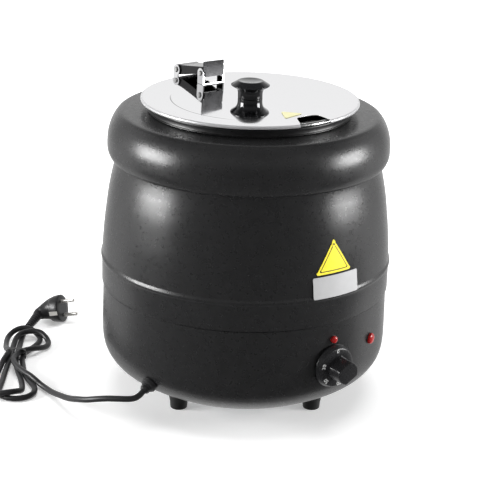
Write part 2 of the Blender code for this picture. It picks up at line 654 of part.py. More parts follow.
def hinge_rim_clip():
    """A hook under the pot's rolled rim, with the two ears that carry the lid's hinge."""
    rear = HINGE_Y + 0.0065
    shelf = block("hinge_rim_clip", (-EAR_OUTER, 0.1204, 0.3490), (EAR_OUTER, rear, 0.3502), POLISHED)
    web = block("clip_web", (-EAR_OUTER, 0.1204, 0.3470), (EAR_OUTER, 0.1216, 0.3502), POLISHED)
    hook = block("clip_hook", (-EAR_OUTER, 0.1186, 0.3470), (EAR_OUTER, 0.1216, 0.3482), POLISHED)
    ears = [ear(f"clip_ear_{side + 1}", HINGE_Y, HINGE_Z, 0.0065, HINGE_Y - 0.003, 0.3490, side)
            for side in (-1, 1)]
    cut(shelf, web, hook, *ears, join=True)
    cut(shelf, bore_across("clip_hole", HINGE_Y, HINGE_Z, 0.0023))
    pin_across("hinge_pin", HINGE_Y, HINGE_Z, 0.0020, 0.0034, SATIN)


# --- mains lead -----------------------------------------------------------------------------------
def cable_gland():
    frame = gland_frame()
    body = [(0, -0.014), (0.0061, -0.014), (0.0061, 0.0003), (0.0085, 0.0003), (0.0085, 0.0052),
            (0.0066, 0.0062), (0.0058, 0.0120), (0.0047, 0.0190), (0, 0.0190)]
    turned("cable_gland", body, GLOSS_BLACK, 18, frame)
    nut = [(0.0074, -0.0042), (0.0074, -0.0077), (0.0098, -0.0077), (0.0098, -0.0042)]
    turned("gland_locknut", nut, GALVANISED, 6, frame)


def hank():
    """The tied bundle of the lead: one solid with round ends, drawn in by the tie."""
    right = [(along / 1000, low / 1000) for along, low, high in HANK_OUTLINE]
    left = [(along / 1000, high / 1000) for along, low, high in HANK_OUTLINE[::-1]]
    heading = math.radians(HANK_HEADING)
    place = Matrix.Translation(Vector((*HANK_MIDDLE, 0)) / 1000) @ Matrix.Rotation(heading, 4, "Z")
    extruded("power_cord_hank", right + left, HANK_BOTTOM, HANK_TOP, CORD_BLACK, place)
    low = HANK_WAIST[0] / 1000 - 0.0006
    high = HANK_WAIST[1] / 1000 + 0.0006
    thick = 0.0009
    ring = block("cord_tie", (HANK_TIE_AT - 0.002, low - thick, 0.0002),
                 (HANK_TIE_AT + 0.002, high + thick, HANK_TOP + 0.0013), CORD_BLACK, place)
    hole = block("tie_hole", (HANK_TIE_AT - 0.01, low, HANK_BOTTOM - 0.0004),
                 (HANK_TIE_AT + 0.01, high, HANK_TOP + 0.0004), CORD_BLACK, place)
    cut(ring, hole)


def plug():
    face = millimetres([PLUG_FACE])[0]
    axis = Vector(PLUG_AXIS).normalized()
    bend, end = millimetres([PLUG_BEND, RELIEF_END])
    away = (end - bend).normalized()
    neck = face - axis * 0.016
    start = bend + away * RELIEF_START
    path = [face, face - axis * 0.0008, face - axis * 0.006, face - axis * 0.012, neck,
            neck.lerp(bend, 0.35) - axis * 0.001, neck.lerp(bend, 0.7), bend + away * 0.001, start]
    sizes = [(0.0172, 0.0172), (0.0182, 0.0182), (0.0179, 0.0178), (0.0164, 0.0167), (0.0137, 0.0149),
             (0.0108, 0.0122), (0.0084, 0.0094), (0.0068, 0.0072), (0.0064, 0.0066)]
    lofted("plug_body", path, sizes, CORD_BLACK)
    points = [start.lerp(end, k / 4) for k in range(5)]
    points[0] += away * GAP
    points[4] -= away * GAP
    lofted("plug_strain_relief", points, [(0.0060, 0.0064), (0.0056, 0.0058), (0.0052, 0.0053),
                                         (0.0048, 0.0049), (0.0045, 0.0045)], CORD_BLACK)
    frame = looking(face, axis)
    for name, side in (("plug_pin_upper", 1), ("plug_pin_lower", -1)):
        pin = [(0, GAP), (0.0024, GAP), (0.0024, 0.0178), (0.0016, 0.019), (0, 0.019)]
        turned(name, pin, BRASS, 12, frame @ Matrix.Translation((0, side * 0.0095, 0)))
    for name, side in (("plug_earth_strip_near", -1), ("plug_earth_strip_far", 1)):
        low, high = sorted((side * 0.0186, side * 0.0196))
        block(name, (low, -0.0026, -0.0115), (high, 0.0026, -0.0005), BRASS, frame)


def mains_lead():
    tube("power_cord_run", smooth_path(millimetres(CORD_RUN), 0.010), CORD_RADIUS, CORD_BLACK)
    tube("power_cord_tail", smooth_path(millimetres(CORD_TAIL), 0.008), CORD_RADIUS, CORD_BLACK)
    hank()
    plug()


# --- the kettle -----------------------------------------------------------------------------------
base_pan()
barrel_shell()
shoulder_ring()
neck_ring()
water_well()
insulation_blanket()
bottom_plate()
feet()
heating()
thermostat()
terminals()
control_dial()
pilot_lamp("heat_lamp", 0, SMALL_LAMP_HEIGHT, 0.0043, 0.1689)
pilot_lamp("power_lamp", LARGE_LAMP_ANGLE, LARGE_LAMP_HEIGHT, 0.0064, 0.1689)
labels()
insert_pot()
lid_disc()
lid_knob()
lid_bracket()
hinge_arm()
hinge_rim_clip()
cable_gland()
mains_lead()
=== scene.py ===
"""Looks of the soup kettle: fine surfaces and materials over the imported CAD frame.

Lengths are in metres unless a name or comment says millimetres. Points are measured from the foot
of the kettle's vertical axis, angles round it in degrees from the dial, anticlockwise from above.
"""
import math

import bmesh
import bpy
from mathutils import Matrix, Vector


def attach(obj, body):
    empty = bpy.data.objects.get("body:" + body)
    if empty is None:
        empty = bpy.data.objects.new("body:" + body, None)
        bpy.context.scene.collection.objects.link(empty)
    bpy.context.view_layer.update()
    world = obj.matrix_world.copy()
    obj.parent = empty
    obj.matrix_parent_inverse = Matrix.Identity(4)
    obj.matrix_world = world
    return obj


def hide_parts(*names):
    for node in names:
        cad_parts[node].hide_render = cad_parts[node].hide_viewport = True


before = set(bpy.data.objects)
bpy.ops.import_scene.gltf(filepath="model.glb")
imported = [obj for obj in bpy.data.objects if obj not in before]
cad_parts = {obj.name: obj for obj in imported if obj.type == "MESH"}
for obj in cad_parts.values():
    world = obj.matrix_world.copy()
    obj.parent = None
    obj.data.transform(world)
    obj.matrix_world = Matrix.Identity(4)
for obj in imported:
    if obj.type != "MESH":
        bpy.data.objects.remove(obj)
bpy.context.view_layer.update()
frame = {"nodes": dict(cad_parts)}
AXIS = Vector((0, 0.0143, 0))       # foot of the kettle's vertical axis
MM = 0.001

# --- camera ---------------------------------------------------------------------------------------
CAM_AZ, CAM_EL, CAM_ROLL = map(math.radians, (-36.7, 19.61, 1.721))
CAM_VIEW = math.radians(17.475122)  # angle of view across the picture
CAM_DISTANCE = 1.842
CAM_AIM_RIGHT, CAM_AIM_UP = -0.00855, 0.1823    # where it looks, from the foot of the axis
RIGHT = Vector((math.cos(CAM_AZ), math.sin(CAM_AZ), 0))
AWAY = Vector((-math.sin(CAM_AZ), math.cos(CAM_AZ), 0))
TO_CAMERA = Vector((math.sin(CAM_AZ) * math.cos(CAM_EL), -math.cos(CAM_AZ) * math.cos(CAM_EL),
                    math.sin(CAM_EL)))
UP = TO_CAMERA.cross(RIGHT)

camera_data = bpy.data.cameras.new("camera")
camera_data.sensor_fit = "HORIZONTAL"
camera_data.angle = CAM_VIEW
camera_data.clip_end = 50
camera = bpy.data.objects.new("camera", camera_data)
bpy.context.scene.collection.objects.link(camera)
cam_x = RIGHT * math.cos(CAM_ROLL) + UP * math.sin(CAM_ROLL)
cam_y = UP * math.cos(CAM_ROLL) - RIGHT * math.sin(CAM_ROLL)
target = AXIS + RIGHT * CAM_AIM_RIGHT + Vector((0, 0, CAM_AIM_UP))
turn = Matrix((cam_x, cam_y, TO_CAMERA)).transposed().to_4x4()
camera.matrix_world = Matrix.Translation(target + TO_CAMERA * CAM_DISTANCE) @ turn
bpy.context.scene.camera = camera


# --- node helpers ---------------------------------------------------------------------------------
def remapped(tree, value, low, high, to_low, to_high):
    """value with low to high stretched over to_low to to_high, and held at both ends."""
    made = tree.nodes.new("ShaderNodeMapRange")
    for socket, number in zip(list(made.inputs)[1:5], (low, high, to_low, to_high)):
        socket.default_value = number
    tree.links.new(value, made.inputs["Value"])
    return made.outputs["Result"]


class Nodes:
    """A material's node tree with its Principled BSDF."""

    def __init__(self, name):
        self.mat = bpy.data.materials.new(name)
        self.mat.use_nodes = True
        self.tree = self.mat.node_tree
        self.shader = self.tree.nodes["Principled BSDF"]
        self.coords = None

    def node(self, kind, **inputs):
        """A new node with its inputs set, an underscore standing for a space in their names."""
        made = self.tree.nodes.new(kind)
        for key, value in inputs.items():
            made.inputs[key.replace("_", " ")].default_value = value
        return made

    def link(self, out, into):
        self.tree.links.new(out, into)

    def place(self):
        """Object coordinates, made once for the material."""
        if self.coords is None:
            self.coords = self.tree.nodes.new("ShaderNodeTexCoord").outputs["Object"]
        return self.coords

    def noise(self, scale, detail=2.0, roughness=0.5, stretch=None):
        made = self.node("ShaderNodeTexNoise", Scale=scale, Detail=detail, Roughness=roughness)
        source = self.place()
        if stretch:
            mapping = self.tree.nodes.new("ShaderNodeMapping")
            mapping.inputs["Scale"].default_value = stretch
            self.link(source, mapping.inputs["Vector"])
            source = mapping.outputs["Vector"]
        self.link(source, made.inputs["Vector"])
        return made.outputs["Fac"]

    def remap(self, value, *span):
        return remapped(self.tree, value, *span)

    def mixed(self, factor, one, two):
        made = self.tree.nodes.new("ShaderNodeMix")
        made.data_type = "RGBA"
        self.link(factor, made.inputs[0])
        made.inputs[6].default_value = (*one, 1)
        made.inputs[7].default_value = (*two, 1)
        return made.outputs[2]

    def bump(self, height, strength, distance, before=None):
        made = self.node("ShaderNodeBump", Strength=strength, Distance=distance)
        self.link(height, made.inputs["Height"])
        if before is not None:
            self.link(before, made.inputs["Normal"])
        return made.outputs["Normal"]


def surface(name, colour, roughness, metallic=0.0, vary=0.15, rough_vary=0.06, scale=60.0,
            coat=0.0, bumps=(), specular=0.5):
    """A slightly cloudy material, with bumps as (scale, strength, height)."""
    n = Nodes(name)
    n.shader.inputs["Metallic"].default_value = metallic
    n.shader.inputs["Specular IOR Level"].default_value = specular
    n.shader.inputs["Coat Weight"].default_value = coat
    n.shader.inputs["Coat Roughness"].default_value = 0.08
    cloud = n.noise(scale, 3.0)
    dark = tuple(c * (1 - vary) for c in colour)
    light = tuple(min(1, c * (1 + vary)) for c in colour)
    n.link(n.mixed(n.remap(cloud, 0.3, 0.7, 0, 1), dark, light), n.shader.inputs["Base Color"])
    fine_cloud = n.noise(scale * 2.3, 3.0)
    rough = n.remap(fine_cloud, 0.3, 0.7, roughness - rough_vary, roughness + rough_vary)
    n.link(rough, n.shader.inputs["Roughness"])
    normal = None
    for fine, strength, height in bumps:
        normal = n.bump(n.noise(fine, 2.0, 0.55), strength, height, normal)
    if normal is not None:
        n.link(normal, n.shader.inputs["Normal"])
    return n.mat


def brushed(name, colour, roughness, stretch, strength=0.05):
    """Steel with fine lines along one direction."""
    n = Nodes(name)
    n.shader.inputs["Metallic"].default_value = 1
    lines = n.noise(500, 2.0, 0.6, stretch)
    dark = tuple(c * 0.9 for c in colour)
    n.link(n.mixed(lines, dark, colour), n.shader.inputs["Base Color"])
    rough = n.remap(lines, 0.25, 0.75, roughness * 0.8, roughness * 1.25)
    n.link(rough, n.shader.inputs["Roughness"])
    n.link(n.bump(lines, strength, 0.0001), n.shader.inputs["Normal"])
    return n.mat


POWDER = surface("powder_black", (0.014, 0.014, 0.0145), 0.29, vary=0.08, rough_vary=0.03, scale=90,
                 bumps=((620, 0.35, 0.00026), (1300, 0.30, 0.00012)))
NECK_PAINT = surface("neck_paint", (0.010, 0.010, 0.0105), 0.33, scale=70,
                     bumps=((500, 0.2, 0.0002),))
MIRROR = surface("polished_steel", (0.86, 0.86, 0.87), 0.045, 1, vary=0.015, rough_vary=0.015,
                 scale=35, bumps=((14, 0.012, 0.002),))
HEM_STEEL = surface("hem_steel", (0.62, 0.62, 0.63), 0.34, 0.55, vary=0.02, rough_vary=0.03,
                    scale=50)
DARK_STEEL = surface("shaded_steel", (0.040, 0.040, 0.041), 0.18, 1, vary=0.05, rough_vary=0.04,
                     scale=60, bumps=((40, 0.02, 0.001),))
SATIN = brushed("satin_steel", (0.66, 0.66, 0.655), 0.22, (1, 1, 0.03))
TURNED_STEEL = brushed("turned_steel", (0.7, 0.7, 0.69), 0.16, (0.4, 0.4, 1.5), 0.03)
ALUMINIUM = surface("aluminium", (0.72, 0.72, 0.73), 0.38, 1, vary=0.05,
                    bumps=((600, 0.1, 0.0001),))
ZINC = surface("zinc_plate", (0.56, 0.58, 0.6), 0.36, 1, vary=0.1, rough_vary=0.1, scale=200,
               bumps=((800, 0.1, 0.0001),))
GLOSS = surface("gloss_black", (0.010, 0.010, 0.011), 0.10, vary=0.05, rough_vary=0.02, scale=50,
                coat=0.3, bumps=((90, 0.02, 0.0003),))
DIAL_PLASTIC = surface("dial_plastic", (0.013, 0.013, 0.014), 0.26, vary=0.08, rough_vary=0.03,
                       scale=120, bumps=((1500, 0.06, 0.00008),))
CORD_PVC = surface("cord_pvc", (0.016, 0.016, 0.017), 0.42, vary=0.15, rough_vary=0.07, scale=150,
                   bumps=((700, 0.12, 0.0001),))
PLUG_PVC = surface("plug_pvc", (0.015, 0.015, 0.016), 0.38, vary=0.1, rough_vary=0.05, scale=150,
                   bumps=((1300, 0.12, 0.0001),))
RUBBER = surface("rubber", (0.013, 0.013, 0.013), 0.62, vary=0.2, scale=200,
                 bumps=((900, 0.2, 0.0002),))
CERAMIC = surface("ceramic", (0.78, 0.75, 0.68), 0.5, vary=0.04, bumps=((700, 0.15, 0.0001),))
FIBRE = surface("glass_fibre", (0.74, 0.7, 0.56), 0.95, vary=0.15, bumps=((400, 0.8, 0.001),))
SILVER = surface("label_silver", (0.43, 0.43, 0.435), 0.5, 0.1, vary=0.03, rough_vary=0.03,
                 scale=120, bumps=((900, 0.04, 0.00005),))
YELLOW = surface("label_yellow", (0.86, 0.72, 0.025), 0.36, vary=0.03, scale=100,
                 bumps=((500, 0.04, 0.0001),))
YELLOW_DARK = surface("label_line", (0.045, 0.036, 0.012), 0.35, vary=0.05, scale=100)
PALE = surface("label_pale", (0.80, 0.77, 0.42), 0.35, vary=0.03, scale=100,
               bumps=((500, 0.03, 0.0001),))
PRINT = surface("dial_print", (0.62, 0.62, 0.61), 0.45, vary=0.04, scale=300)
NICKEL = surface("nickel", (0.88, 0.86, 0.82), 0.36, 0.7, vary=0.04, rough_vary=0.05, scale=300,
                 bumps=((700, 0.05, 0.0001),))
LENS = surface("lens_red", (0.30, 0.006, 0.006), 0.22, vary=0.1, rough_vary=0.02, scale=400,
               coat=0.15, bumps=((1200, 0.1, 0.0002),))

LID_DISH = 0.17                                 # height of the lid's hollow in its bump
CREASE_SHADE_RADIUS, CREASE_SHADE_SHIFT = 0.0962, 0.0062    # ring of the painted shade line along the crease, and its middle along Y


def dished_steel():
    """The lid's mirror, pressed a little hollow, with a thin line of painted shade along a crease
    near its left edge.
    """
    n = Nodes("lid_steel")
    n.shader.inputs["Metallic"].default_value = 1
    split = n.tree.nodes.new("ShaderNodeSeparateXYZ")
    n.link(n.place(), split.inputs["Vector"])

    def maths(operation, one, two):
        """A maths node between two outputs, or an output and a number."""
        made = n.tree.nodes.new("ShaderNodeMath")
        made.operation = operation
        for socket, value in zip(made.inputs, (one, two)):
            if isinstance(value, float):
                socket.default_value = value
            else:
                n.link(value, socket)
        return made.outputs["Value"]

    x, y = split.outputs["X"], split.outputs["Y"]
    bowl = maths("ADD", maths("MULTIPLY", x, x), maths("MULTIPLY", y, y))
    moved = maths("ADD", y, -CREASE_SHADE_SHIFT)
    squares = maths("ADD", maths("MULTIPLY", x, x), maths("MULTIPLY", moved, moved))
    ring = maths("SQRT", squares, 0.0)
    away = maths("ABSOLUTE", maths("ADD", ring, -CREASE_SHADE_RADIUS), 0.0)
    # painted shade: the crease is a dark line in the steel's colour on its ring, only near the left
    # edge
    on_crease_shade, at_left = n.remap(away, 0.0003, 0.0008, 0.9, 0), n.remap(x, -0.084, -0.070, 1, 0)
    line = maths("MULTIPLY", on_crease_shade, at_left)
    n.link(n.mixed(line, (0.80, 0.80, 0.81), (0.12, 0.12, 0.12)), n.shader.inputs["Base Color"])
    n.link(n.remap(n.noise(35, 3.0), 0.3, 0.7, 0.03, 0.055), n.shader.inputs["Roughness"])
    hollow = n.bump(bowl, 1.0, LID_DISH)
    n.link(n.bump(n.noise(14, 2.0, 0.55), 0.012, 0.002, hollow), n.shader.inputs["Normal"])
    return n.mat


LID_STEEL = dished_steel()


# --- mesh helpers ---------------------------------------------------------------------------------
def keep(name, bm, mat, matrix=None, sharp=40):
    """Closes bm into a smooth-shaded object whose mesh is in world coordinates.

    matrix places it about the kettle's axis; edges bent by more than sharp degrees stay sharp.
    """
    bmesh.ops.recalc_face_normals(bm, faces=bm.faces)
    mesh = bpy.data.meshes.new(name)
    bm.to_mesh(mesh)
    bm.free()
    if matrix is not None:
        mesh.transform(matrix)
    mesh.transform(Matrix.Translation(AXIS))
    mesh.shade_smooth()
    mesh.set_sharp_from_angle(angle=math.radians(sharp))
    mesh.materials.append(mat)
    obj = bpy.data.objects.new(name, mesh)
    bpy.context.scene.collection.objects.link(obj)
    return obj


def in_fours(points):
    """Every four neighbouring points, the line going straight on past both ends."""
    pts = [Vector(p) for p in points]
    ends = [pts[0] * 2 - pts[1]] + pts + [pts[-1] * 2 - pts[-2]]
    return zip(ends, ends[1:], ends[2:], ends[3:])


def curved(a, b, c, d, t):
    """The point a share t of the way from b to c on the smooth curve through all four."""
    return 0.5 * (2 * b + (c - a) * t + (2 * a - 5 * b + 4 * c - d) * t * t
                  + (3 * b - a - 3 * c + d) * t ** 3)


def fair(points, steps=5):
    """A smooth line through (radius, height) points, with as many steps between each two."""
    line = [curved(*four, i / steps) for four in in_fours(points) for i in range(steps)]
    return line + [Vector(points[-1])]


def smooth_path(points, spacing):
    """A smooth path through points in space, with a step about every spacing."""
    path = []
    for four in in_fours(points):
        steps = max(1, round((four[2] - four[1]).length / spacing))
        path += [curved(*four, i / steps) for i in range(steps)]
    return path + [Vector(points[-1])]


def arc(middle, radius, start, end, steps):
    """Points round a flat arc, its ends in degrees."""
    found = []
    for i in range(steps + 1):
        a = math.radians(start + (end - start) * i / steps)
        found.append(Vector((middle[0] + radius * math.cos(a), middle[1] + radius * math.sin(a))))
    return found


def band(bm, one, two):
    """Faces between two closed rings of equally many vertices."""
    for i in range(len(one)):
        j = (i + 1) % len(one)
        bm.faces.new((one[i], one[j], two[j], two[i]))


def turned(name, profile, mat, sides=144, matrix=None):
    """A solid of revolution. profile runs round its section and closes; radius 0 is the axis."""
    bm = bmesh.new()
    rings = []
    for radius, height in profile:
        if radius < 1e-7:
            rings.append([bm.verts.new((0, 0, height))])
            continue
        ring = []
        for i in range(sides):
            a = 2 * math.pi * i / sides
            ring.append(bm.verts.new((radius * math.cos(a), radius * math.sin(a), height)))
        rings.append(ring)
    pairs = list(zip(rings, rings[1:]))
    if len(rings[0]) > 1:
        pairs.append((rings[-1], rings[0]))
    for low, high in pairs:
        if len(low) == len(high):
            if len(low) > 1:
                band(bm, low, high)
            continue
        for i in range(sides):
            j = (i + 1) % sides
            if len(low) == 1:
                bm.faces.new((low[0], high[j], high[i]))
            else:
                bm.faces.new((low[i], low[j], high[0]))
    return keep(name, bm, mat, matrix)


def sheet(outer, thickness):
    """Closes an outer line, listed top to bottom, into a section of that thickness inside it."""
    outer = [Vector(p) for p in outer]
    inner = []
    for i, point in enumerate(outer):
        along = (outer[min(i + 1, len(outer) - 1)] - outer[max(i - 1, 0)]).normalized()
        inner.append(Vector((point.x + along.y * thickness, point.y - along.x * thickness)))
    return outer + inner[::-1]


def extruded(name, outline, low, high, mat, bevel=0.0):
    """A flat outline pulled up from low to high, its edges rounded by bevel."""
    bm = bmesh.new()
    bottom = [bm.verts.new((x, y, low)) for x, y in outline]
    top = [bm.verts.new((x, y, high)) for x, y in outline]
    bm.faces.new(bottom[::-1])
    bm.faces.new(top)
    band(bm, bottom, top)
    obj = keep(name, bm, mat, sharp=30)
    if bevel:
        soften(obj, bevel)
    return obj


def soften(obj, width, angle=35):
    """Rounds every edge bent by more than angle degrees."""
    made = obj.modifiers.new("soft_edges", "BEVEL")
    made.width = width
    made.segments = 2
    made.limit_method = "ANGLE"
    made.angle_limit = math.radians(angle)
    made.harden_normals = True


def looking(point, direction):
    """Places a piece at point with its Z along direction and its X level."""
    z = Vector(direction).normalized()
    x = Vector((0, 0, 1)).cross(z).normalized()
    rot = Matrix((x, z.cross(x), z)).transposed().to_4x4()
    return Matrix.Translation(point) @ rot


def round_the_kettle(angle, radius, height):
    """The point at that angle from the dial."""
    a = math.radians(angle)
    return Vector((radius * math.sin(a), -radius * math.cos(a), height))


def facing(angle, height, radius):
    """Places a piece on the barrel with its Z pointing straight out."""
    return looking(round_the_kettle(angle, radius, height), round_the_kettle(angle, 1, 0))


def powered(value, power):
    """value's size to a power, with the sign it had."""
    return math.copysign(abs(value) ** power, value)


def loft(name, path, sections, mat, sides=48, sharp=40):
    """A solid through cross-sections along a path, each as (half width, half height, squareness).

    A squareness of 2 is an ellipse and a larger one is nearer a rectangle.
    """
    bm = bmesh.new()
    rings = []
    for i, (point, (wide, high, square)) in enumerate(zip(path, sections)):
        along = path[min(i + 1, len(path) - 1)] - path[max(i - 1, 0)]
        place = looking(point, along)
        power = 2 / square
        ring = []
        for k in range(sides):
            a = 2 * math.pi * k / sides
            x, y = wide * powered(math.cos(a), power), high * powered(math.sin(a), power)
            ring.append(bm.verts.new(place @ Vector((x, y, 0))))
        rings.append(ring)
    for low, high in zip(rings, rings[1:]):
        band(bm, low, high)
    bm.faces.new(rings[0][::-1])
    bm.faces.new(rings[-1])
    return keep(name, bm, mat, None, sharp)


def done(piece, body, slot, *nodes):
    """Hangs a piece on the body that carries it and hides the CAD pieces it stands in for; slot is
    not used.
    """
    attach(piece, body)
    if nodes:
        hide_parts(*nodes)
    return piece


# --- mains lead -----------------------------------------------------------------------------------
CORD_RADIUS = 0.0035
GLAND_ANGLE, GLAND_RADIUS, GLAND_HEIGHT, GLAND_DROP = -76, 0.1636, 0.0495, math.radians(26)
GLAND = looking(round_the_kettle(GLAND_ANGLE, GLAND_RADIUS, GLAND_HEIGHT),
                round_the_kettle(GLAND_ANGLE, math.cos(GLAND_DROP), -math.sin(GLAND_DROP)))

# The lead from inside the gland to the hank, then from the hank to the plug, in millimetres.
CORD_RUN = (
    (-169.6, -42.3, 44), (-176.4, -44, 40.6), (-182, -44.8, 39.2), (-188.3, -43.3, 38.7),
    (-194.8, -39, 38.6), (-201.3, -32.4, 38), (-208.2, -23.8, 36.5), (-215, -13.2, 33.4),
    (-220.4, -0.5, 28.9), (-223.2, 15.5, 23.8), (-223.6, 30.5, 18.7), (-222.8, 44, 14.8),
    (-221.5, 57, 11.4), (-220.2, 70, 8.2), (-219.1, 83, 5.6), (-218.6, 96, 4.6),
    (-219.8, 107.1, 5.6),
)
CORD_TAIL = ((-155.2, 261.9, 5.2), (-151.4, 265, 5.9), (-147.9, 267.7, 6.5))

# The hank's own middle and heading, and sizes in millimetres along and across it.
HANK_MIDDLE, HANK_HEADING = (-211, 172.3), math.radians(53.3)
FOLD_RADIUS = 21
TIE_AT, TIE_HALF_WIDTH = 24, 2.0
TIE_MIDDLE, TIE_REACH = (9.3, 7.9), (12.1, 7.4)     # across the hank and above the table


def fold(along, side, start, heights):
    """Points round an end of the hank, half a turn anticlockwise from start in degrees."""
    found = []
    for i, z in enumerate(heights):
        a = math.radians(start + 180 * i / (len(heights) - 1))
        found.append((along + FOLD_RADIUS * math.cos(a), side + FOLD_RADIUS * math.sin(a), z))
    return found


# The hank's strands, as places along it, across it and above the table in millimetres.
HANK = [(-52, -25, 8.8), (-44, -17.2, 10.9), (-35, -9.4, 11), (-25, -2.2, 11), (-13, 4.6, 10.9),
        (0, 8.8, 10.8), (12, 8.8, 10.7), (23, 4.8, 10.6), (32, -2.2, 10.3), (41, -11, 8.6),
        (50, -18.8, 5.8), (59, -23.8, 4)]
HANK += fold(68, -4.5, -90, (3.7, 4.4, 7.4, 10.8, 11.6, 11.4, 10.8, 9.2, 7.4))
HANK += [(58, 17.2, 5.2), (46, 17, 4), (34, 16.4, 3.7), (23, 16, 3.7), (10, 16.2, 3.7),
         (-6, 16.2, 3.7), (-22, 16, 3.7), (-40, 15.7, 3.7), (-58, 15.6, 3.7)]
HANK += fold(-73.5, -5.5, 90, [3.7] * 9)
HANK += [(-62, -25, 3.7), (-51, -19.8, 3.7), (-40, -14.2, 3.7), (-28, -9.4, 3.7), (-14, -5.6, 3.7),
         (0, -2.8, 3.7), (12, -0.2, 3.7), (23, 1.4, 3.7), (35, 0.2, 3.7), (47, -4.2, 3.7),
         (58, -8.9, 3.7), (69, -12.4, 3.7)]
HANK += fold(79, 7.5, -90, (3.7, 3.9, 5.8, 9.6, 11.2, 10.6, 8.4, 5.6, 4))
HANK += [(68, 28, 3.7), (56, 26.6, 4), (45, 24.2, 6), (35, 20.8, 9.2), (24, 18, 10.9),
         (13, 19.8, 10), (2, 22.6, 7), (-10, 23.8, 4.6), (-26, 25, 3.7), (-44, 27.2, 3.7),
         (-60, 29.8, 3.7)]
HANK += fold(-74, 9.5, 90, (3.7, 4.2, 5.8, 8.2, 10.2, 11, 10.2, 8, 5.6))
HANK += [(-62, -10.4, 4.2), (-48, -7.6, 3.7), (-34, -3.8, 3.7), (-20, 0.4, 3.7), (-6, 4.2, 3.7),
         (8, 7.2, 3.7), (23, 8.7, 3.7), (40, 9.2, 3.7), (56, 9.6, 3.7), (72, 10, 3.7),
         (86, 10.2, 3.7), (96, 10, 4)]


def hank_point(along, side, height):
    """A place in the hank as a point in millimetres from the foot of the axis."""
    ahead, aside = math.cos(HANK_HEADING), math.sin(HANK_HEADING)
    x = HANK_MIDDLE[0] + along * ahead - side * aside
    y = HANK_MIDDLE[1] + along * aside + side * ahead
    return x, y, height


route = list(CORD_RUN) + [hank_point(*p) for p in HANK] + list(CORD_TAIL)
cord_path = [p * MM + AXIS for p in smooth_path(route, 2.5)]
cord_curve = bpy.data.curves.new("power_cord", "CURVE")
cord_curve.dimensions = "3D"
cord_curve.bevel_depth = CORD_RADIUS
cord_curve.bevel_resolution = 5
cord_curve.use_fill_caps = True
spline = cord_curve.splines.new("POLY")
spline.points.add(len(cord_path) - 1)
for point, place in zip(spline.points, cord_path):
    point.co = (*place, 1)
    point.radius = 1
cord_curve.materials.append(CORD_PVC)
cord = bpy.data.objects.new("power_cord", cord_curve)
bpy.context.scene.collection.objects.link(cord)
done(cord, "kettle", "cord_black", "power_cord_run", "power_cord_hank", "power_cord_tail")

# gland: its thread through the wall, its nut, and a boot with ribs
RIBS, RIB_PITCH, RIB_STEP = 2, 0.0031, 0.0008
body = [(0, -0.014), (0.0060, -0.014), (0.0060, 0.0003), (0.0088, 0.0003), (0.0092, 0.0007),
        (0.0092, 0.0046), (0.0087, 0.0056), (0.0072, 0.0062)]
for i in range(RIBS):
    z = 0.0066 + i * RIB_PITCH
    r = 0.0066 - i * RIB_STEP
    body += [(r, z), (r, z + 0.0014), (r - RIB_STEP, z + 0.0018), (r - RIB_STEP, z + 0.0027)]
body += [(0.0047, 0.0128), (0.0041, 0.0132), (0, 0.0132)]
gland = done(turned("gland_boot", body, PLUG_PVC, 48, GLAND), "kettle", "gloss_black_plastic",
             "cable_gland")

# plug, from its face back to the bend in its neck, and the strain relief from there to the lead
FACE = Vector((-93.4, 272.8, 19.3)) * MM
PLUG_AXIS = Vector((0.604, -0.763, 0.23)).normalized()
BEND = Vector((-119.3, 290.2, 11.0)) * MM
RELIEF_END = Vector((-147.5, 268.0, 6.6)) * MM
relief_way = (RELIEF_END - BEND).normalized()


def narrowed(start, end, power, t):
    """A size a share t of the way from start to end, quicker at first for a larger power."""
    left = (1 - t) ** power
    return start * left + end * (1 - left)


neck = FACE - PLUG_AXIS * 0.016
spine = smooth_path([FACE - PLUG_AXIS * 0.0128, neck, neck.lerp(BEND, 0.35) - PLUG_AXIS * 0.001,
                     neck.lerp(BEND, 0.7), BEND + relief_way * 0.001, BEND + relief_way * 0.005],
                    0.0018)
path = [FACE + PLUG_AXIS * 0.00002, FACE + PLUG_AXIS * 0.00001, FACE - PLUG_AXIS * 0.0004,
        FACE - PLUG_AXIS * 0.0012, FACE - PLUG_AXIS * 0.004, FACE - PLUG_AXIS * 0.0085,
        FACE - PLUG_AXIS * 0.011] + spine
sections = [(0.0100, 0.0100, 2), (0.0170, 0.0170, 2), (0.0178, 0.0178, 2), (0.0182, 0.0182, 2),
            (0.0181, 0.0181, 2), (0.0176, 0.0175, 2.05), (0.0168, 0.0170, 2.1)]
for i in range(len(spine)):
    t = i / (len(spine) - 1)
    sections.append((narrowed(0.0160, 0.0065, 1.3, t), narrowed(0.0164, 0.0066, 1.15, t), 2.15))
plug = done(loft("plug_shell", path, sections, PLUG_PVC), "kettle", "cord_black", "plug_body")

RELIEF_STEPS = 28
RELIEF_WIDE, RELIEF_THIN, GROOVE_DEPTH = 0.0064, 0.0047, 0.0009
relief_path, relief_sections = [], []
for i in range(RELIEF_STEPS + 1):
    t = i / RELIEF_STEPS
    relief_path.append(BEND.lerp(RELIEF_END, 0.15 + 0.84 * t))
    groove = GROOVE_DEPTH if i % 4 in (2, 3) and 1 < i < RELIEF_STEPS - 1 else 0
    size = RELIEF_WIDE * (1 - t) + RELIEF_THIN * t - groove
    relief_sections.append((size, size, 2))
relief = done(loft("plug_relief", relief_path, relief_sections, PLUG_PVC, 32, sharp=50), "kettle",
              "cord_black", "plug_strain_relief")

